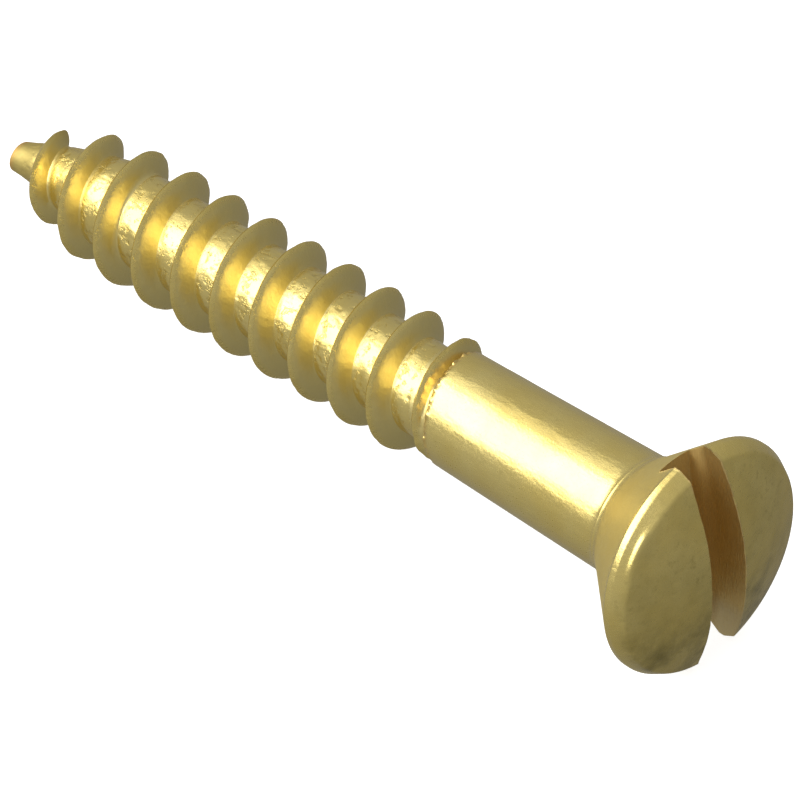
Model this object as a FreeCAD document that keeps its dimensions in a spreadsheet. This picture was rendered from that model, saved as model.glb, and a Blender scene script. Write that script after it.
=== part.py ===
"""Slotted raised countersunk wood screw, No. 10 x 1 1/4 in, rolled from one piece of brass.

Frame: the screw's axis is X. The origin is on the axis in the plane where the countersink
meets the rim of the head, the plane that the nominal length is measured from. +X points out
of the head, the tip is at -X, +Z is up and the driver slot runs along Z. Millimetres, degrees.
"""
import FreeCAD, Part
import math
import os
import Sketcher

SCREW = "wood_screw"

# Alias in the sheet, value, meaning.
SIZES = [
    ("nominal_length", 31.75, "rim plane to the end of the tip"),
    ("head_diameter", 8.94, "widest circle of the head"),
    ("rim_height", 0.74, "land between countersink and dome"),
    ("rim_taper", 0.26, "how much smaller the land's radius is at the dome"),
    ("dome_height", 0.88, "dome above the land"),
    ("countersink_angle", 81.0, "included angle under the head"),
    ("neck_diameter", 4.52, "smooth shank where it meets the head"),
    ("shank_diameter", 4.17, "smooth shank where it meets the thread"),
    ("shank_start", 10.70, "rim plane to the end of the smooth shank"),
    ("groove_end", 11.50, "rim plane to the end of the full depth groove"),
    ("thread_diameter", 4.83, "over the crests"),
    ("core_diameter", 3.21, "at the groove floor"),
    ("pitch", 1.852, "crest to crest"),
    ("crest_width", 0.30, "flat on top of the thread ridge"),
    ("flank_angle", 22.0, "each flank from the plane across the axis"),
    ("ridge_root_depth", 0.25, "how far the ridge reaches below the groove floor"),
    ("point_crest", 26.59, "rim plane to the first full crest, above the axis"),
    ("straight_turns", 8.6, "turns on the straight core, up to the smooth shank"),
    ("runout_start", 11.90, "rim plane to where the crest starts to sink"),
    ("runout_end", 9.90, "rim plane to the end of the cut that sinks it"),
    ("runout_drop", 0.83, "how far that cut sinks, into the shank"),
    ("point_turns", 2.25, "turns on the point"),
    ("point_angle", 14.0, "taper of the ridge on the point"),
    ("point_length", 5.25, "tapered end of the core"),
    ("tip_diameter", 1.36, "blunt end of the point"),
    ("tip_round", 0.25, "edge radius of the tip"),
    ("neck_round", 0.60, "fillet between shank and countersink"),
    ("rim_round", 0.12, "edge radius between countersink and land"),
    ("dome_round", 0.30, "edge radius between land and dome"),
    ("slot_width", 1.60, "driver slot"),
    ("slot_depth", 2.42, "driver slot, below the top of the dome"),
    ("slot_clearance", 1.0, "how far the slot's cut starts above the dome"),
    ("overcut", 1.2, "how far a cut reaches past the metal, as a share of its size"),
]

HEAD_RADIUS = "sizes.head_diameter / 2"
NECK_RADIUS = "sizes.neck_diameter / 2"
SHANK_RADIUS = "sizes.shank_diameter / 2"
CORE_RADIUS = "sizes.core_diameter / 2"
TIP_RADIUS = "sizes.tip_diameter / 2"
CREST_RADIUS = "sizes.thread_diameter / 2"
ROOT_RADIUS = f"({CORE_RADIUS} - sizes.ridge_root_depth)"
HALF_CREST = "sizes.crest_width / 2"
HALF_ROOT = f"({HALF_CREST} + ({CREST_RADIUS} - {ROOT_RADIUS}) * tan(sizes.flank_angle))"
APEX_X = "(sizes.rim_height + sizes.dome_height)"
NECK_X = f"-({HEAD_RADIUS} - {NECK_RADIUS}) / tan(sizes.countersink_angle / 2)"
POINT_X = "-(sizes.nominal_length - sizes.point_length)"
POINT_CREST_X = "-sizes.point_crest"

UP = FreeCAD.Vector(0, 0, 1)
OUTWARD = FreeCAD.Vector(1, 0, 0)
TIPWARD = FreeCAD.Vector(-1, 0, 0)


def make_sheet(doc):
    """The driving dimensions, one row each: name, value, meaning."""
    sheet = doc.addObject("Spreadsheet::Sheet", "sizes")
    for row, (alias, value, meaning) in enumerate(SIZES, start=1):
        sheet.set(f"A{row}", alias)
        sheet.set(f"B{row}", str(value))
        sheet.set(f"C{row}", meaning)
        sheet.setAlias(f"B{row}", alias)
    doc.recompute()
    return sheet


def new_sketch(body, name, plane):
    """An empty sketch on one of the body's own origin planes."""
    sketch = body.newObject("Sketcher::SketchObject", name)
    support = next(item for item in body.Origin.OriginFeatures if item.Role == plane)
    sketch.AttachmentSupport = [(support, "")]
    sketch.MapMode = "FlatFace"
    return sketch


def hold(sketch, kind, edge, expression):
    """Tie the start of an edge to the origin along one direction, by an expression."""
    value = sketch.evalExpression(expression)
    number = sketch.addConstraint(Sketcher.Constraint(kind, -1, 1, edge, 1, value))
    sketch.setExpression(f"Constraints[{number}]", expression)


def draw_outline(sketch, corners, dome=False):
    """Draw a closed outline whose corners are pairs of expressions.

    With dome set, the first edge is an arc with its centre on the horizontal axis.
    """
    points = [FreeCAD.Vector(sketch.evalExpression(x), sketch.evalExpression(y), 0)
              for x, y in corners]
    edges = [Part.LineSegment(start, end) for start, end in zip(points, points[1:] + points[:1])]
    if dome:
        edges[0] = dome_arc(points[0], points[1])
    for edge in edges:
        sketch.addGeometry(edge, False)
    for number, (x, y) in enumerate(corners):
        following = (number + 1) % len(corners)
        sketch.addConstraint(Sketcher.Constraint("Coincident", number, 2, following, 1))
        hold(sketch, "DistanceX", number, x)
        if y == "0":
            sketch.addConstraint(Sketcher.Constraint("PointOnObject", number, 1, -1))
        else:
            hold(sketch, "DistanceY", number, y)
    if dome:
        sketch.addConstraint(Sketcher.Constraint("PointOnObject", 0, 3, -1))


def dome_arc(apex, edge):
    """The arc from the apex on the axis to the dome's edge, square to the axis at the apex."""
    height = apex.x - edge.x
    radius = (edge.y ** 2 + height ** 2) / (2 * height)
    centre = FreeCAD.Vector(apex.x - radius, 0, 0)
    circle = Part.Circle(centre, FreeCAD.Vector(0, 0, 1), radius)
    return Part.ArcOfCircle(circle, 0, math.atan2(edge.y, edge.x - centre.x))


def revolve_blank(doc, body):
    """The blank: head, countersink, smooth shank, threaded core and point."""
    sketch = new_sketch(body, "blank_outline", "XZ_Plane")
    corners = [
        (APEX_X, "0"),
        ("sizes.rim_height", f"{HEAD_RADIUS} - sizes.rim_taper"),
        ("0", HEAD_RADIUS),
        (NECK_X, NECK_RADIUS),
        ("-sizes.shank_start", SHANK_RADIUS),
        ("-sizes.groove_end", CORE_RADIUS),
        (POINT_X, CORE_RADIUS),
        ("-sizes.nominal_length", TIP_RADIUS),
        ("-sizes.nominal_length", "0"),
    ]
    draw_outline(sketch, corners, dome=True)
    doc.recompute()
    blank = body.newObject("PartDesign::Revolution", "blank")
    blank.Profile = sketch
    blank.ReferenceAxis = (sketch, ["H_Axis"])
    blank.Angle = 360
    doc.recompute()


def round_ring(doc, body, name, x_expression, radius_alias):
    """Fillet the circular edge that stands at the given place along the axis."""
    base = body.Tip
    x = base.evalExpression(x_expression)
    rings = [
        f"Edge{number}"
        for number, edge in enumerate(base.Shape.Edges, start=1)
        if edge.Length > 1 and all(abs(vertex.X - x) < 1e-4 for vertex in edge.Vertexes)
    ]
    if len(rings) != 1:
        raise RuntimeError(f"{name}: {len(rings)} edges at x = {x}")
    fillet = body.newObject("PartDesign::Fillet", name)
    fillet.Base = (base, rings)
    fillet.setExpression("Radius", f"sizes.{radius_alias}")
    doc.recompute()


def ridge_section(doc, body, name):
    """The ridge cut lengthwise: a trapezoid with its crest outwards, above the axis."""
    sketch = new_sketch(body, f"{name}_section", "XZ_Plane")
    corners = [
        (f"{POINT_CREST_X} + {HALF_ROOT}", ROOT_RADIUS),
        (f"{POINT_CREST_X} + {HALF_CREST}", CREST_RADIUS),
        (f"{POINT_CREST_X} - {HALF_CREST}", CREST_RADIUS),
        (f"{POINT_CREST_X} - {HALF_ROOT}", ROOT_RADIUS),
    ]
    draw_outline(sketch, corners)
    doc.recompute()
    return sketch


def crest_line(doc, body, name, turns, taper, direction):
    """The line of the crest: a right-hand helix about X from a point above the axis."""
    helix = doc.addObject("Part::Helix", f"{name}_crest_line")
    helix.Placement.Rotation = FreeCAD.Rotation(UP, direction.cross(UP), direction)
    helix.LocalCoord = "Right-handed"
    helix.setExpression("Placement.Base.x", POINT_CREST_X)
    helix.setExpression("Pitch", "sizes.pitch")
    helix.setExpression("Height", f"sizes.pitch * {turns}")
    helix.setExpression("Radius", CREST_RADIUS)
    helix.setExpression("Angle", taper)
    binder = body.newObject("PartDesign::SubShapeBinder", f"{name}_path")
    binder.Support = [(helix, ("",))]
    doc.recompute()
    return binder


def wind_ridge(doc, body, name, turns, taper, direction):
    """Wind the thread ridge about the axis, its section always in line with the radius."""
    section = ridge_section(doc, body, name)
    path = crest_line(doc, body, name, turns, taper, direction)
    ridge = body.newObject("PartDesign::AdditivePipe", name)
    ridge.Profile = section
    ridge.Spine = (path, ["Edge1"])
    ridge.Mode = "Binormal"
    ridge.Binormal = OUTWARD
    doc.recompute()


def trim_runout(doc, body):
    """Turn the last crests down along a cone, so that the ridge sinks into the shank."""
    before = body.Tip.Shape.Volume
    sketch = new_sketch(body, "runout_outline", "XZ_Plane")
    outside = f"{CREST_RADIUS} * sizes.overcut"
    corners = [
        ("-sizes.runout_start", CREST_RADIUS),
        ("-sizes.runout_end", f"{CREST_RADIUS} - sizes.runout_drop"),
        ("-sizes.runout_end", outside),
        ("-sizes.runout_start", outside),
    ]
    draw_outline(sketch, corners)
    doc.recompute()
    trim = body.newObject("PartDesign::Groove", "runout_trim")
    trim.Profile = sketch
    trim.ReferenceAxis = (sketch, ["H_Axis"])
    trim.Angle = 360
    doc.recompute()
    if trim.Shape.Volume >= before:
        raise RuntimeError("the runout trim cut nothing")


def cut_slot(doc, body):
    """Cut the driver slot right across the head, and check that it took metal away."""
    before = body.Tip.Shape.Volume
    sketch = new_sketch(body, "slot_outline", "XY_Plane")
    floor_x = f"{APEX_X} - sizes.slot_depth"
    open_x = f"{APEX_X} + sizes.slot_clearance"
    half_width = "sizes.slot_width / 2"
    corners = [
        (floor_x, f"-{half_width}"),
        (open_x, f"-{half_width}"),
        (open_x, half_width),
        (floor_x, half_width),
    ]
    draw_outline(sketch, corners)
    doc.recompute()
    slot = body.newObject("PartDesign::Pocket", "driver_slot")
    slot.Profile = sketch
    slot.Type = "Length"
    slot.Midplane = True
    slot.setExpression("Length", "sizes.head_diameter * sizes.overcut")
    doc.recompute()
    if slot.Shape.Volume >= before:
        raise RuntimeError("the driver slot cut nothing")


def build_screw(doc):
    """The whole screw, one body because the real one is one piece of metal."""
    body = doc.addObject("PartDesign::Body", SCREW)
    body.Label = SCREW
    wind_ridge(doc, body, "straight_thread", "sizes.straight_turns", "0", OUTWARD)
    wind_ridge(doc, body, "point_thread", "sizes.point_turns", "-sizes.point_angle", TIPWARD)
    trim_runout(doc, body)
    revolve_blank(doc, body)
    round_ring(doc, body, "neck_fillet", NECK_X, "neck_round")
    round_ring(doc, body, "rim_fillet", "0", "rim_round")
    round_ring(doc, body, "dome_fillet", "sizes.rim_height", "dome_round")
    round_ring(doc, body, "tip_fillet", "-sizes.nominal_length", "tip_round")
    cut_slot(doc, body)
    body.Placement = FreeCAD.Placement()
    doc.recompute()
    return body


def check(doc, body):
    """Stop before anything is written if a feature failed or the screw isn't one sound solid."""
    failed = [item.Name for item in doc.Objects
              if "Invalid" in item.State or "Error" in item.State]
    if failed:
        raise RuntimeError(f"failed objects: {failed}")
    shape = body.Shape
    if shape.isNull() or not shape.isValid() or len(shape.Solids) != 1:
        raise RuntimeError("the screw is not one valid solid")


def main():
    doc = FreeCAD.newDocument("wood_screw_document")
    make_sheet(doc)
    screw = build_screw(doc)
    check(doc, screw)
    os.makedirs("parts", exist_ok=True)
    screw.Shape.exportStep(f"parts/{screw.Label}.step")
    box = screw.Shape.BoundBox
    print(f"{screw.Label}: volume {screw.Shape.Volume:.1f} mm3")
    print(f"x {box.XMin:.3f} {box.XMax:.3f}  y {box.YMin:.3f} {box.YMax:.3f}"
          f"  z {box.ZMin:.3f} {box.ZMax:.3f}")


main()
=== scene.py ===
import math

import bpy
import numpy as np
from mathutils import Matrix, Quaternion, Vector


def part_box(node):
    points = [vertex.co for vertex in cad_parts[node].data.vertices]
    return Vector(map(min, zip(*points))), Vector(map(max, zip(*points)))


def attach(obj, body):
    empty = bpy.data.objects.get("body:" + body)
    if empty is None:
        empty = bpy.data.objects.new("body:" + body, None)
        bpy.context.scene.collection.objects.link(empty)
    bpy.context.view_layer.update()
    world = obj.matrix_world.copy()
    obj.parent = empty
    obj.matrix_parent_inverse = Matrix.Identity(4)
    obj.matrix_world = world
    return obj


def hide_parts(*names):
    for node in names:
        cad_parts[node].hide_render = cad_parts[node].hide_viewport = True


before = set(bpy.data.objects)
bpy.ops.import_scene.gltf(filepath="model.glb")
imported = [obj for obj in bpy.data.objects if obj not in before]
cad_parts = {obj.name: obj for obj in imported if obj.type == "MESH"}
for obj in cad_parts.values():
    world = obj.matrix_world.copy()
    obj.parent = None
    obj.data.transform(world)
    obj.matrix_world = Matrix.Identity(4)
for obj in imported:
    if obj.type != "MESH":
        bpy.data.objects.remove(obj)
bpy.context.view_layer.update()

NODE = "wood_screw"
MM = 0.001

# Sizes in millimetres. The axis is X, the head points to +X, the rim plane is at x = 0.
LOW, HIGH = (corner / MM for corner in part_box(NODE))
TIP_X = LOW.x
HEAD_RADIUS = HIGH.y
THREAD_RADIUS = 2.412
CORE_RADIUS = 1.635
PITCH = 1.852
CREST_AT_TOP = -11.773
RUNOUT_ANGLE = math.radians(38)
CREST_FALL = 2.46
RUNOUT_GAP = 0.28
RUNOUT_TURNS = 0.46
RUNOUT_SLOPE = 0.45
SHANK_RADIUS = 2.03
NECK_RADIUS = 2.255
SHANK_START = -11.2
NECK_X = -2.58
COUNTERSINK = math.radians(40.4)
LAND = 0.24
NECK_BLEND = 0.34
RIM_ROUND = 0.11
LAND_ROUND = 0.20
SHOULDER_ROUND = 0.26
RIM_HEIGHT = 0.74
RIM_TAPER = 0.26
EDGE_RADIUS = HEAD_RADIUS - RIM_TAPER
DOME_HEIGHT = 0.88
APEX_X = RIM_HEIGHT + DOME_HEIGHT
DOME_RADIUS = (EDGE_RADIUS ** 2 + DOME_HEIGHT ** 2) / (2 * DOME_HEIGHT)
SLOT_NEAR = 0.77
SLOT_FAR = 0.85
SLOT_SKEW = 0.035
SLOT_FLOOR = -0.80
SLOT_EDGE = 0.03

# Mesh density.
COLUMNS = 208
ROWS_PER_TURN = 28
HELIX_START = -31.30
HELIX_END = -9.30


# ---------------------------------------------------------------- shape helpers
def smooth_step(low, high, value):
    part = np.clip((value - low) / (high - low), 0, 1)
    return part * part * (3 - 2 * part)


def smooth_min(a, b, width):
    blend = np.clip(0.5 + 0.5 * (b - a) / width, 0, 1)
    return b * (1 - blend) + a * blend - width * blend * (1 - blend)


def smooth_max(a, b, width):
    return -smooth_min(-a, -b, width)


def wave_noise(points, scale, seed, waves=28):
    """Smooth noise of about unit spread; scale is the size of its lumps in millimetres."""
    random = np.random.default_rng(seed)
    directions = random.normal(size=(3, waves)) * (2.2 / scale)
    phases = random.uniform(0, 2 * math.pi, waves)
    return np.cos(points @ directions + phases).sum(axis=1) / math.sqrt(waves / 2)


def on_axis(x, angle, radius):
    """Points at a distance from the axis, as an array of rows."""
    return np.column_stack([x, radius * np.cos(angle), radius * np.sin(angle)])


# ---------------------------------------------------------------- the screw's outline
def core_radius(x):
    """The groove floor, which narrows steadily towards the blunt tip."""
    point = 0.65 + 0.26 * (x - HELIX_START)
    return smooth_min(point, np.full_like(x, CORE_RADIUS), 0.25)


def crest_radius(x):
    """How far the crest reaches, by its own place along the axis: an ogive over the point."""
    places = [-31.5, -31.1, -30.5, -29.6, -28.7, -27.8, -25.5]
    radii = [0.45, 0.80, 1.42, 1.76, 2.06, 2.26, THREAD_RADIUS]
    return np.interp(x, places, radii)


def shank_radius(x):
    """The smooth shank, a little thicker towards the head."""
    part = np.clip((x - SHANK_START) / (NECK_X - SHANK_START), -0.3, 1)
    return SHANK_RADIUS + (NECK_RADIUS - SHANK_RADIUS) * part


def turns_past_last_crest(x, angle):
    """Helical coordinate: 0 on the last crest, in pitches, at any angle from +Y towards +Z."""
    past_start = (angle - RUNOUT_ANGLE) % (2 * math.pi)
    crest_x = CREST_AT_TOP + PITCH * (past_start + RUNOUT_ANGLE - math.pi / 2) / (2 * math.pi)
    return (x - crest_x) / PITCH, past_start / (2 * math.pi)


def groove_end(along):
    """Where the shank begins, in pitches past the last crest. It closes the groove round the back."""
    return RUNOUT_GAP - np.clip((along - RUNOUT_TURNS) / (1 - RUNOUT_TURNS), 0, 1)


def thread_radius(x, angle):
    """The rolled thread: core, ridge, and the runout where it sinks into the shank."""
    turns, along = turns_past_last_crest(x, angle)
    ridge_number = np.minimum(np.round(turns), 0)
    ridge_x = x - (turns - ridge_number) * PITCH
    across = np.abs(turns - ridge_number) * PITCH
    fade = smooth_step(RUNOUT_TURNS, -0.24, along + ridge_number)
    core = core_radius(x)
    floor_rise = np.where(turns > 0, smooth_step(0.02, 0.72, along), 0.0)
    shank = shank_radius(x)
    floor = core + (shank - 0.01 - core) * floor_rise
    crest = crest_radius(ridge_x)
    crest = shank - 0.02 + (crest - shank + 0.02) * fade
    ridge = crest - CREST_FALL * across ** 1.4
    threaded = smooth_max(floor, ridge, 0.09)
    edge = (turns - groove_end(along)) * PITCH
    shoulder = shank - np.clip(-edge, 0, None) / RUNOUT_SLOPE
    shouldered = smooth_max(threaded, np.minimum(shoulder, shank), 0.05)
    return np.where(turns > groove_end(along) - 0.23, shouldered, threaded)


def bend_of_thread(x):
    """The rolled thread bows a hair off the axis, its point more, and the head sits a hair low."""
    places = [TIP_X, -31.07, -30.5, -29.6, -27.5, -21.0, -16.5, -10.0, -2.5, 0.0]
    offsets = [-0.34, -0.22, -0.14, -0.09, -0.06, -0.03, 0.03, 0.0, 0.0, -0.07]
    offset = np.interp(x, places, offsets)
    return np.column_stack([np.zeros_like(x), 0.78 * offset, 0.62 * offset])


def thread_wear(points, turns, along):
    """Rolling marks: ragged crests, a pitted groove floor and a burr at the runout."""
    ridge = np.minimum(np.round(turns), 0)
    across = np.abs(turns - ridge) * PITCH
    on_crest = smooth_step(0.30, 0.05, across)
    on_floor = smooth_step(0.50, 0.62, across)
    ragged = wave_noise(points, 0.6, 3) * 0.008 + wave_noise(points, 0.22, 4) * 0.003
    ragged = ragged * np.where(ridge == 0, 2.5, 1.0)
    pits = -np.clip(wave_noise(points, 0.15, 5) - 1.0, 0, 1) * 0.016
    lumps = wave_noise(points, 0.5, 6) * 0.006
    burr_place = np.exp(-((turns - 0.29) / 0.05) ** 2)
    burr_place = burr_place * smooth_step(0.50, 0.35, along) * smooth_step(0.02, 0.10, along)
    burr = burr_place * np.clip(wave_noise(points, 0.15, 7) - 0.1, -0.9, 1.2) * 0.060
    rolled = smooth_step(groove_end(along) + 0.10, groove_end(along), turns)
    return rolled * (on_crest * ragged + on_floor * (pits + lumps)) + burr


def helix_surface(x, angle):
    """Points of the threaded stretch for matching arrays of places and angles."""
    radius = thread_radius(x, angle)
    turns, along = turns_past_last_crest(x, angle)
    radius = radius + thread_wear(on_axis(x, angle, radius), turns, along)
    radius = np.minimum(radius, THREAD_RADIUS + 0.003)
    return on_axis(x, angle, radius) + bend_of_thread(x)


def head_outline():
    """Rings from the shank over the countersink, rim and dome to the apex: x and radius."""
    slope = math.tan(COUNTERSINK)
    cone_x = np.concatenate([
        np.linspace(HELIX_END, -3.2, 26),
        NECK_X + np.array([-0.42, -0.27, -0.16, -0.11, -0.07, -0.04, 0.0, 0.08]),
        np.linspace(-2.32, -0.14, 20),
    ])
    cone = HEAD_RADIUS + cone_x * slope
    body = smooth_max(shank_radius(cone_x), cone, NECK_BLEND)
    tool_mark = 0.022 * np.exp(-((cone_x - NECK_X + 0.07) / 0.045) ** 2)
    under = np.column_stack([cone_x, body + tool_mark])
    taper = RIM_TAPER / (RIM_HEIGHT - LAND)
    rim = round_corner((0, HEAD_RADIUS), (-1, -slope), (1, 0), RIM_ROUND, 7)
    land = round_corner((LAND, HEAD_RADIUS), (-1, 0), (1, -taper), LAND_ROUND, 5)
    band_x = np.array([0.36, 0.42, 0.47, 0.52, 0.57])
    band = np.column_stack([band_x, HEAD_RADIUS - (band_x - LAND) * taper])
    dome_start = math.asin(EDGE_RADIUS / DOME_RADIUS)
    dome_back = (math.sin(dome_start), -math.cos(dome_start))
    shoulder = round_corner((RIM_HEIGHT, EDGE_RADIUS), (-1, taper), dome_back, SHOULDER_ROUND, 9)
    angles = np.linspace(dome_start - 0.030, 0.0, 42)[:-1]
    centre = APEX_X - DOME_RADIUS
    dome = np.column_stack([centre + DOME_RADIUS * np.cos(angles), DOME_RADIUS * np.sin(angles)])
    return np.concatenate([under, rim, land, band, shoulder, dome])


def round_corner(corner, back, ahead, radius, steps):
    """Points of an arc that rounds a corner between two directions of the outline."""
    corner, back, ahead = (np.array(item, dtype=float) for item in (corner, back, ahead))
    back /= np.linalg.norm(back)
    ahead /= np.linalg.norm(ahead)
    half = math.acos(np.clip(back @ ahead, -1, 1)) / 2
    middle = (back + ahead) / np.linalg.norm(back + ahead)
    centre = corner + middle * radius / math.sin(half)
    first = corner + back * radius / math.tan(half) - centre
    last = corner + ahead * radius / math.tan(half) - centre
    parts = np.linspace(0, 1, steps)[:, None]
    arc = first * (1 - parts) + last * parts
    return centre + arc * (radius / np.linalg.norm(arc, axis=1))[:, None]


def tip_outline():
    """Rings from the end of the helix to the blunt tip: x and radius."""
    side = np.array([[-31.40, 0.63], [-31.50, 0.61]])
    edge = round_corner((TIP_X, 0.56), (1, 0.20), (0, -1), 0.07, 6)
    face = np.array([[TIP_X, 0.25], [TIP_X, 0.10]])
    return np.concatenate([side, edge, face])


# ---------------------------------------------------------------- the mesh
def build_screw_mesh():
    """Vertices and faces of the whole screw before its slot is cut, in millimetres.

    The parts are joined facing inwards, so every face is turned round at the end."""
    points = []
    faces = []
    first_row, last_row, first_vertex = helix_columns(points)
    low_ring = add_ring(points, helix_ring(HELIX_START))
    high_ring = add_ring(points, helix_ring(HELIX_END))
    for column in range(COLUMNS):
        join_columns(faces, column, first_row, last_row, first_vertex, low_ring, high_ring)
    previous = high_ring
    for x, radius in head_outline()[1:]:
        ring = add_ring(points, plain_ring(x, radius))
        join_rings(faces, previous, ring)
        previous = ring
    close_ring(points, faces, previous, np.array([APEX_X, 0, 0]), False)
    previous = low_ring
    for x, radius in tip_outline():
        ring = add_ring(points, plain_ring(x, radius))
        join_rings(faces, ring, previous)
        previous = ring
    centre = np.array([TIP_X, 0, 0]) + bend_of_thread(np.array([TIP_X]))[0]
    close_ring(points, faces, previous, centre, True)
    return np.concatenate(points), [face[::-1] for face in faces]


def column_angles():
    return np.arange(COLUMNS) * 2 * math.pi / COLUMNS


def vertex_count(points):
    return sum(len(block) for block in points)


def helix_columns(points):
    """Rows that follow the thread: row k of column j lies k / ROWS_PER_TURN + j / COLUMNS turns on."""
    first_row, last_row, first_vertex = [], [], []
    margin = 0.4 * PITCH / ROWS_PER_TURN
    for column, angle in enumerate(column_angles()):
        offset = column / COLUMNS
        low = math.ceil(((HELIX_START + margin - CREST_AT_TOP) / PITCH - offset) * ROWS_PER_TURN)
        high = math.floor(((HELIX_END - margin - CREST_AT_TOP) / PITCH - offset) * ROWS_PER_TURN)
        x = CREST_AT_TOP + PITCH * (np.arange(low, high + 1) / ROWS_PER_TURN + offset)
        first_vertex.append(vertex_count(points))
        points.append(helix_surface(x, np.full_like(x, angle)))
        first_row.append(low)
        last_row.append(high)
    return first_row, last_row, first_vertex


def helix_ring(x):
    angles = column_angles()
    return helix_surface(np.full_like(angles, x), angles)


def plain_ring(x, radius):
    angles = column_angles()
    places = np.full_like(angles, x)
    return on_axis(places, angles, radius + die_lip(x, angles)) + bend_of_thread(places)


def die_lip(x, angles):
    """A faint lip that the heading die left along part of the dome's edge."""
    round_the_head = np.exp(-((angles - math.radians(143)) / 0.20) ** 4)
    return 0.08 * math.exp(-((x - RIM_HEIGHT + 0.08) / 0.11) ** 2) * round_the_head


def add_ring(points, ring):
    start = vertex_count(points)
    points.append(ring)
    return list(range(start, start + len(ring)))


def join_columns(faces, column, first_row, last_row, first_vertex, low_ring, high_ring):
    """Quads between two neighbouring columns, and the odd polygon at each end."""
    following = (column + 1) % COLUMNS
    shift = ROWS_PER_TURN if following == 0 else 0

    def here(row):
        return first_vertex[column] + row - first_row[column]

    def there(row):
        return first_vertex[following] + row + shift - first_row[following]

    there_first = first_row[following] - shift
    there_last = last_row[following] - shift
    low = max(first_row[column], there_first)
    high = min(last_row[column], there_last)
    for row in range(low, high):
        faces.append((here(row), here(row + 1), there(row + 1), there(row)))
    start = [low_ring[following], low_ring[column]]
    start += [here(row) for row in range(first_row[column], low + 1)]
    start += [there(row) for row in range(low, there_first - 1, -1)]
    faces.append(tuple(start))
    end = [high_ring[column], high_ring[following]]
    end += [there(row) for row in range(there_last, high - 1, -1)]
    end += [here(row) for row in range(high, last_row[column] + 1)]
    faces.append(tuple(end))


def join_rings(faces, low_ring, high_ring):
    for column in range(COLUMNS):
        following = (column + 1) % COLUMNS
        faces.append((low_ring[column], high_ring[column], high_ring[following], low_ring[following]))


def close_ring(points, faces, ring, centre, backwards):
    middle = vertex_count(points)
    points.append(centre[None, :])
    for column in range(COLUMNS):
        pair = (ring[column], ring[(column + 1) % COLUMNS])
        faces.append((pair[0], pair[1], middle) if backwards else (pair[0], middle, pair[1]))


def new_mesh_object(name, points, faces):
    mesh = bpy.data.meshes.new(name)
    mesh.from_pydata([tuple(point) for point in points], [], faces)
    mesh.update()
    piece = bpy.data.objects.new(name, mesh)
    bpy.context.scene.collection.objects.link(piece)
    return piece


# ---------------------------------------------------------------- the slot
def dome_x(radius):
    """Height of the dome over a radius, held level past the edge of the head."""
    inside = np.clip(radius, 0, EDGE_RADIUS)
    return APEX_X - DOME_RADIUS + np.sqrt(DOME_RADIUS ** 2 - inside ** 2)


def build_slot_cutter():
    """A bar along Z whose section follows the dome, so that the slot's edges come out broken."""
    overcut = 1.15
    reach = HEAD_RADIUS * overcut
    places = np.linspace(-reach, reach, 150)
    sections = []
    for z in places:
        seeds = np.array([[z, -1.0, 0], [z, 1.0, 0]])
        broken = 0.030 + 0.015 * np.clip(wave_noise(seeds, 0.5, 11), -1, 2)
        near, far = slot_walls(z) + 0.005 * wave_noise(seeds, 1.4, 12)
        edge_x = float(dome_x(np.array(math.hypot(z, SLOT_FAR))))
        right = slot_wall(far, edge_x, broken[1])
        left = [(-y, x) for y, x in slot_wall(near, edge_x, broken[0])]
        outline = right + left[::-1]
        sections.append([(x, y, z) for y, x in outline])
    size = len(sections[0])
    points = [point for section in sections for point in section]
    faces = []
    for index in range(len(sections) - 1):
        for step in range(size):
            ahead = (step + 1) % size
            base = index * size
            faces.append((base + step, base + ahead, base + size + ahead, base + size + step))
    faces.append(tuple(range(size))[::-1])
    faces.append(tuple(range(len(points) - size, len(points))))
    return new_mesh_object("slot_cutter", points, faces)


def slot_walls(z):
    """How far the near and the far wall stand from the middle; the far one runs a little askew."""
    return np.array([SLOT_NEAR + 0 * z, SLOT_FAR - SLOT_SKEW * z])


def slot_wall(half, edge_x, broken):
    """Half of the slot's section, from above the dome down to the middle of the floor: y, x."""
    fillet = 0.10
    wall = [(half + 0.8, edge_x + 0.8 - broken), (half, edge_x - broken)]
    wall += [(half, edge_x - broken + (SLOT_FLOOR + fillet - edge_x + broken) * part)
             for part in (0.25, 0.5, 0.75, 1.0)]
    wall += [(half - fillet * (1 - math.cos(a)), SLOT_FLOOR + fillet * (1 - math.sin(a)))
             for a in (0.5, 1.05, math.pi / 2)]
    return wall


def cut_slot(blank, cutter):
    modifier = blank.modifiers.new("slot", "BOOLEAN")
    modifier.operation = "DIFFERENCE"
    modifier.solver = "EXACT"
    modifier.object = cutter
    modifier.material_mode = "TRANSFER"
    graph = bpy.context.evaluated_depsgraph_get()
    mesh = bpy.data.meshes.new_from_object(blank.evaluated_get(graph), depsgraph=graph)
    mesh.name = "screw_body"
    for item in (blank, cutter):
        bpy.data.objects.remove(item)
    return mesh


# ---------------------------------------------------------------- surface marks
def read_points(mesh):
    values = np.empty(len(mesh.vertices) * 3)
    mesh.vertices.foreach_get("co", values)
    return values.reshape(-1, 3)


def write_points(mesh, points):
    mesh.vertices.foreach_set("co", points.ravel())
    mesh.update()


def add_mark(mesh, name, values):
    """A named number on every vertex, which the material reads."""
    attribute = mesh.attributes.new(name, "FLOAT", "POINT")
    attribute.data.foreach_set("value", np.clip(values, 0, 1).astype(np.float32))


def inside_slot(points):
    """True for the points of the slot's walls and floor."""
    x, y, z = points.T
    near, far = slot_walls(z)
    return (y > -near - SLOT_EDGE) & (y < far + SLOT_EDGE) & (x > SLOT_FLOOR - 0.02)


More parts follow.
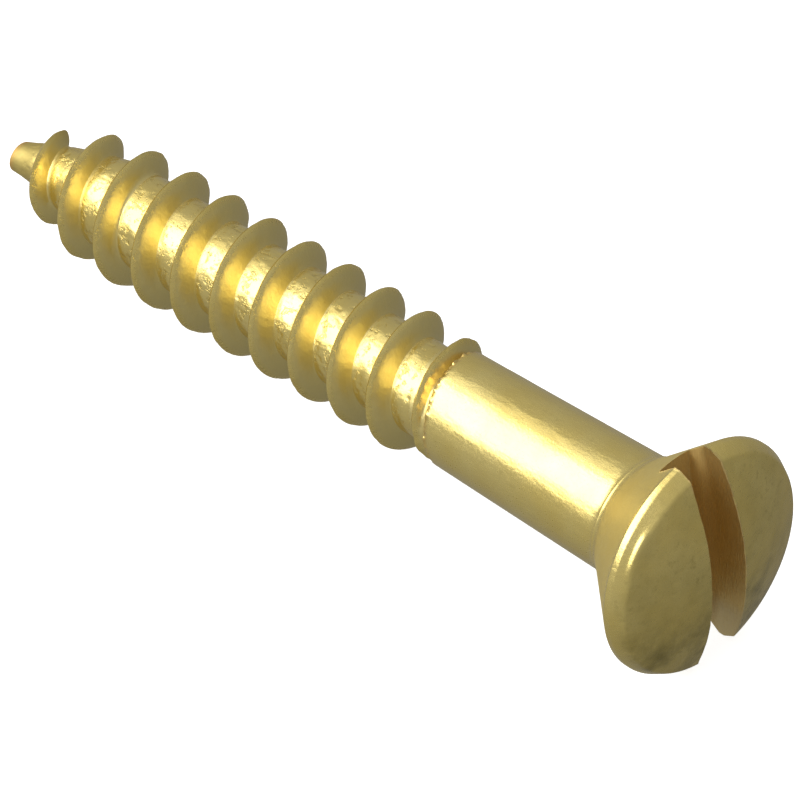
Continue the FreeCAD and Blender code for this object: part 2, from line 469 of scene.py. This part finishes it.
def mark_surface(mesh, points):
    """Marks that tell the material where each kind of wear, colour and painted shade goes."""
    x, y, z = points.T
    angle = np.arctan2(z, y) % (2 * math.pi)
    turns, along = turns_past_last_crest(x, angle)
    ridge = np.minimum(np.round(turns), 0)
    across = np.abs(turns - ridge) * PITCH
    threaded = smooth_step(groove_end(along) + 0.10, groove_end(along), turns)
    threaded = threaded * smooth_step(TIP_X, TIP_X + 0.8, x)
    threaded = threaded * np.where(ridge == 0, smooth_step(0.50, 0.36, along), 1.0)
    add_mark(mesh, "groove", threaded * smooth_step(0.44, 0.56, across))
    add_mark(mesh, "crest", threaded * smooth_step(0.20, 0.06, across))
    add_mark(mesh, "flank", threaded * smooth_step(0.06, 0.20, across) * smooth_step(0.56, 0.44, across))
    add_mark(mesh, "tip", smooth_step(-31.45, -31.7, x))
    add_mark(mesh, "point", smooth_step(-29.8, -31.0, x))
    add_mark(mesh, "burr", np.exp(-((turns - 0.27) / 0.07) ** 2) * smooth_step(0.52, 0.38, along))
    # cone: the underside of the head, which the material also darkens as painted shade.
    add_mark(mesh, "cone", smooth_step(-2.5, -2.2, x) * smooth_step(-0.05, -0.15, x))
    # slot and slot_end: besides roughness and saw marks, the material darkens the slot as painted shade,
    # more at its lower end.
    in_slot = inside_slot(points)
    add_mark(mesh, "slot", in_slot.astype(float))
    add_mark(mesh, "slot_end", in_slot * smooth_step(-2.3, -3.1, z))
    dome = smooth_step(0.3, 0.7, x) * (1 - in_slot)
    add_mark(mesh, "dome", dome)
    add_mark(mesh, "tarnish", dome * (0.25 + 0.75 * smooth_step(0.5, -2.6, z)))


def flatten_slot(mesh, points):
    """The sawn walls and floor are flat, so their faces must not borrow the dome's normals."""
    inside = inside_slot(points)
    for face in mesh.polygons:
        if all(inside[vertex] for vertex in face.vertices):
            face.use_smooth = False


# ---------------------------------------------------------------- materials
class Nodes:
    """Short calls for building one material's nodes."""

    def __init__(self, name):
        self.material = bpy.data.materials.new(name)
        self.material.use_nodes = True
        self.tree = self.material.node_tree
        self.tree.nodes.clear()

    def add(self, kind, **settings):
        node = self.tree.nodes.new(kind)
        for key, value in settings.items():
            setattr(node, key, value)
        return node

    def link(self, source, target):
        self.tree.links.new(source, target)

    def feed(self, socket, value):
        if isinstance(value, bpy.types.NodeSocket):
            self.link(value, socket)
        else:
            socket.default_value = value

    def math(self, operation, first, second=0.0, clamp=False):
        node = self.add("ShaderNodeMath", operation=operation, use_clamp=clamp)
        self.feed(node.inputs[0], first)
        self.feed(node.inputs[1], second)
        return node.outputs[0]

    def between(self, value, low, high, new_low=0.0, new_high=1.0):
        node = self.add("ShaderNodeMapRange")
        self.feed(node.inputs["Value"], value)
        settings = (("From Min", low), ("From Max", high), ("To Min", new_low), ("To Max", new_high))
        for name, number in settings:
            node.inputs[name].default_value = number
        return node.outputs[0]

    def mix(self, factor, first, second):
        node = self.add("ShaderNodeMix", data_type="RGBA")
        self.feed(node.inputs[0], factor)
        self.feed(node.inputs[6], first)
        self.feed(node.inputs[7], second)
        return node.outputs[2]

    def mark(self, name):
        return self.add("ShaderNodeAttribute", attribute_name=name).outputs["Fac"]

    def noise(self, place, scale, detail=3.0, roughness=0.5):
        node = self.add("ShaderNodeTexNoise")
        self.link(place, node.inputs["Vector"])
        node.inputs["Scale"].default_value = scale
        node.inputs["Detail"].default_value = detail
        node.inputs["Roughness"].default_value = roughness
        return node.outputs["Fac"]


def place_in_millimetres(nodes, stretch=(1, 1, 1)):
    """Object coordinates in millimetres, squeezed along each axis to draw the noise out."""
    coordinates = nodes.add("ShaderNodeTexCoord")
    mapping = nodes.add("ShaderNodeMapping")
    mapping.inputs["Scale"].default_value = [part / MM for part in stretch]
    nodes.link(coordinates.outputs["Object"], mapping.inputs["Vector"])
    return mapping.outputs["Vector"]


BRASS = (0.86, 0.67, 0.21, 1)
PALE_BRASS = (0.90, 0.73, 0.27, 1)
# Dark brass for the faint stains, and painted shade under the head.
STAIN_AND_SHADE_BRASS = (0.52, 0.41, 0.13, 1)
RED_BRASS = (0.72, 0.40, 0.12, 1)
STAIN_BRASS = (0.38, 0.30, 0.09, 1)
# Painted shade: darker brass for the slot's walls and floor, darker still at its lower end.
SLOT_SHADE_BRASS = (0.76, 0.57, 0.23, 1)
SLOT_END_SHADE_BRASS = (0.66, 0.53, 0.27, 1)
FLANK_BRASS = (0.81, 0.67, 0.27, 1)


def brass_material():
    """Rolled and tumbled brass: satin skin, faint stains, burnished grooves, painted shade in the slot and
    under the head.
    """
    nodes = Nodes("rolled_brass")
    place = place_in_millimetres(nodes)
    drawn = place_in_millimetres(nodes, (0.35, 1, 1))
    slotwise = place_in_millimetres(nodes, (1.6, 1, 0.25))
    cloud = nodes.noise(place, 0.55, 4.0)
    speck = nodes.noise(place, 3.2, 5.0, 0.65)
    grain = nodes.noise(place, 11.0, 3.0)
    fine = nodes.noise(place, 26.0, 2.0)
    streak = nodes.noise(drawn, 7.0, 4.0)
    saw = nodes.noise(slotwise, 9.0, 4.0)
    dome, slot, groove = nodes.mark("dome"), nodes.mark("slot"), nodes.mark("groove")
    crest, flank, tip = nodes.mark("crest"), nodes.mark("flank"), nodes.mark("tip")
    point, cone, tarnish = nodes.mark("point"), nodes.mark("cone"), nodes.mark("tarnish")
    burr, slot_end = nodes.mark("burr"), nodes.mark("slot_end")

    colour = nodes.mix(nodes.between(cloud, 0.35, 0.7), BRASS, PALE_BRASS)
    stain = nodes.between(speck, 0.53, 0.72)
    stain = nodes.math("MULTIPLY", stain, nodes.between(cloud, 0.42, 0.62), True)
    stain = nodes.math("MULTIPLY", stain, nodes.between(dome, 0, 1, 0.25, 0.75), True)
    colour = nodes.mix(stain, colour, STAIN_AND_SHADE_BRASS)
    blotch = nodes.between(nodes.noise(place, 0.75, 5.0, 0.6), 0.40, 0.64, 0.25, 0.95)
    colour = nodes.mix(nodes.math("MULTIPLY", blotch, tarnish, True), colour, STAIN_BRASS)
    colour = nodes.mix(flank, colour, FLANK_BRASS)
    colour = nodes.mix(nodes.math("MULTIPLY", point, 0.6), colour, STAIN_BRASS)
    # Painted shade: the underside of the head is mixed halfway towards dark brass.
    colour = nodes.mix(nodes.math("MULTIPLY", cone, 0.5), colour, STAIN_AND_SHADE_BRASS)
    reddened = nodes.math("ADD", nodes.math("MULTIPLY", tip, 0.6), nodes.math("MULTIPLY", burr, 0.45), True)
    colour = nodes.mix(reddened, colour, RED_BRASS)
    # Painted shade in the slot: its walls and floor are darkened, more at its lower end.
    slot_shade = nodes.math("MULTIPLY", slot, nodes.between(saw, 0.2, 0.8, 0.85, 1.0))
    colour = nodes.mix(slot_shade, colour, SLOT_SHADE_BRASS)
    colour = nodes.mix(nodes.math("MULTIPLY", slot_end, 0.85), colour, SLOT_END_SHADE_BRASS)

    rough = nodes.between(grain, 0.3, 0.7, 0.20, 0.30)
    rough = nodes.math("ADD", rough, nodes.math("MULTIPLY", dome, 0.06))
    rough = nodes.math("SUBTRACT", rough, nodes.math("MULTIPLY", groove, 0.03))
    for place_mark, extra in ((flank, 0.12), (cone, 0.25), (point, 0.30), (slot, 0.26)):
        rough = nodes.math("ADD", rough, nodes.math("MULTIPLY", place_mark, extra), True)

    relief = nodes.math("MULTIPLY", grain, 0.0045)
    relief = nodes.math("ADD", relief, nodes.math("MULTIPLY", fine, 0.0016))
    pits = nodes.between(speck, 0.56, 0.66, 0.0, -0.012)
    rolled = nodes.math("ADD", groove, nodes.math("MULTIPLY", crest, 0.8), True)
    relief = nodes.math("ADD", relief, nodes.math("MULTIPLY", pits, rolled))
    relief = nodes.math("ADD", relief, nodes.math("MULTIPLY", streak, 0.004))
    relief = nodes.math("ADD", relief, nodes.math("MULTIPLY", nodes.noise(drawn, 2.6, 4.0), 0.020))
    scratches = nodes.math("MULTIPLY", nodes.math("MULTIPLY", saw, 0.03), slot)
    relief = nodes.math("ADD", relief, scratches)
    bump = nodes.add("ShaderNodeBump")
    bump.inputs["Strength"].default_value = 1.0
    bump.inputs["Distance"].default_value = MM
    nodes.link(relief, bump.inputs["Height"])

    shader = nodes.add("ShaderNodeBsdfPrincipled")
    shader.inputs["Metallic"].default_value = 1.0
    nodes.link(colour, shader.inputs["Base Color"])
    nodes.link(rough, shader.inputs["Roughness"])
    nodes.link(bump.outputs["Normal"], shader.inputs["Normal"])
    output = nodes.add("ShaderNodeOutputMaterial")
    nodes.link(shader.outputs["BSDF"], output.inputs["Surface"])
    return nodes.material


# ---------------------------------------------------------------- the piece
def make_screw():
    points, faces = build_screw_mesh()
    blank = new_mesh_object("screw_blank", points, faces)
    cutter = build_slot_cutter()
    mesh = cut_slot(blank, cutter)
    cut = read_points(mesh)
    mark_surface(mesh, cut)
    write_points(mesh, cut * MM)
    mesh.shade_smooth()
    flatten_slot(mesh, cut)
    mesh.set_sharp_from_angle(angle=math.radians(38))
    mesh.materials.clear()
    mesh.materials.append(brass_material())
    piece = bpy.data.objects.new("brass_wood_screw", mesh)
    bpy.context.scene.collection.objects.link(piece)
    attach(piece, "root")
    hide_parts(NODE)
    return piece


# ---------------------------------------------------------------- studio
def make_floor():
    """A pale floor that the rim of the head and a crest near the point both touch."""
    head_touch = Vector((0, 0, -HEAD_RADIUS))
    crest_touch = Vector((-27.0, 0, -2.46))
    tilt = math.atan2(crest_touch.z - head_touch.z, head_touch.x - crest_touch.x)
    size = 900 * MM
    corners = [(-size, -size, 0), (size, -size, 0), (size, size, 0), (-size, size, 0)]
    floor = new_mesh_object("floor", corners, [(0, 1, 2, 3)])
    floor.matrix_world = Matrix.Translation(head_touch * MM) @ Matrix.Rotation(tilt, 4, "Y")
    nodes = Nodes("pale_floor")
    diffuse = nodes.add("ShaderNodeBsdfDiffuse")
    diffuse.inputs["Color"].default_value = (0.60, 0.60, 0.60, 1)
    glow = nodes.add("ShaderNodeEmission")
    glow.inputs["Color"].default_value = (1, 1, 1, 1)
    glow.inputs["Strength"].default_value = 0.80
    both = nodes.add("ShaderNodeAddShader")
    nodes.link(diffuse.outputs[0], both.inputs[0])
    nodes.link(glow.outputs[0], both.inputs[1])
    output = nodes.add("ShaderNodeOutputMaterial")
    nodes.link(both.outputs[0], output.inputs["Surface"])
    floor.data.materials.append(nodes.material)
    floor.visible_glossy = False


def soft_box(name, direction, distance, width, height, radiance, glossy=True):
    """An area light that faces the screw; radiance is its brightness as seen in a mirror."""
    target = Vector((-14, 0, 0)) * MM
    light = bpy.data.lights.new(name, "AREA")
    light.shape = "RECTANGLE"
    light.size = width
    light.size_y = height
    light.energy = radiance * math.pi * width * height
    item = bpy.data.objects.new(name, light)
    bpy.context.scene.collection.objects.link(item)
    direction = Vector(direction).normalized()
    item.location = target + direction * distance
    item.rotation_mode = "QUATERNION"
    item.rotation_quaternion = direction.to_track_quat("Z", "Y")
    item.visible_glossy = glossy
    return item


def make_world():
    """Soft grey surroundings, brighter above and to the left."""
    world = bpy.data.worlds.new("studio")
    world.use_nodes = True
    tree = world.node_tree
    tree.nodes.clear()
    place = tree.nodes.new("ShaderNodeTexCoord")
    towards = tree.nodes.new("ShaderNodeVectorMath")
    towards.operation = "DOT_PRODUCT"
    towards.inputs[1].default_value = (-0.23, -0.475, 0.85)
    strength = tree.nodes.new("ShaderNodeMapRange")
    strength.inputs["From Min"].default_value = -1
    strength.inputs["To Min"].default_value = 0.23
    strength.inputs["To Max"].default_value = 0.57
    background = tree.nodes.new("ShaderNodeBackground")
    output = tree.nodes.new("ShaderNodeOutputWorld")
    tree.links.new(place.outputs["Generated"], towards.inputs[0])
    tree.links.new(towards.outputs["Value"], strength.inputs["Value"])
    tree.links.new(strength.outputs[0], background.inputs["Strength"])
    tree.links.new(background.outputs[0], output.inputs["Surface"])
    background.inputs["Color"].default_value = (1, 1, 1, 1)
    bpy.context.scene.world = world


def make_lights():
    soft_box("key_softbox", (-0.51, -0.58, 0.63), 0.30, 0.34, 0.24, 2.7)
    soft_box("key_surround", (-0.51, -0.49, 0.70), 0.31, 0.52, 0.46, 0.6)
    soft_box("top_fill", (0.1, 0.1, 1.0), 0.50, 0.6, 0.6, 0.5, glossy=False)


def make_camera():
    """A long lens from the head's side, above and to the front."""
    azimuth, elevation, roll = math.radians(45.70), math.radians(41.52), math.radians(-3.04)
    back = Vector((
        math.sin(azimuth) * math.cos(elevation),
        -math.cos(azimuth) * math.cos(elevation),
        math.sin(elevation),
    ))
    data = bpy.data.cameras.new("camera")
    data.sensor_width = 36
    data.lens = 1500
    field = 27.19 * MM
    centre = Vector((-9.471, -4.347, 4.279)) * MM
    distance = field * data.lens / data.sensor_width
    camera = bpy.data.objects.new("camera", data)
    bpy.context.scene.collection.objects.link(camera)
    camera.location = centre + back * distance
    camera.rotation_mode = "QUATERNION"
    camera.rotation_quaternion = back.to_track_quat("Z", "Y") @ Quaternion((0, 0, 1), roll)
    data.clip_start = distance * 0.5
    data.clip_end = distance * 2
    bpy.context.scene.camera = camera


make_camera()
make_screw()
make_floor()
make_world()
make_lights()
bpy.context.scene.view_settings.view_transform = "Standard"
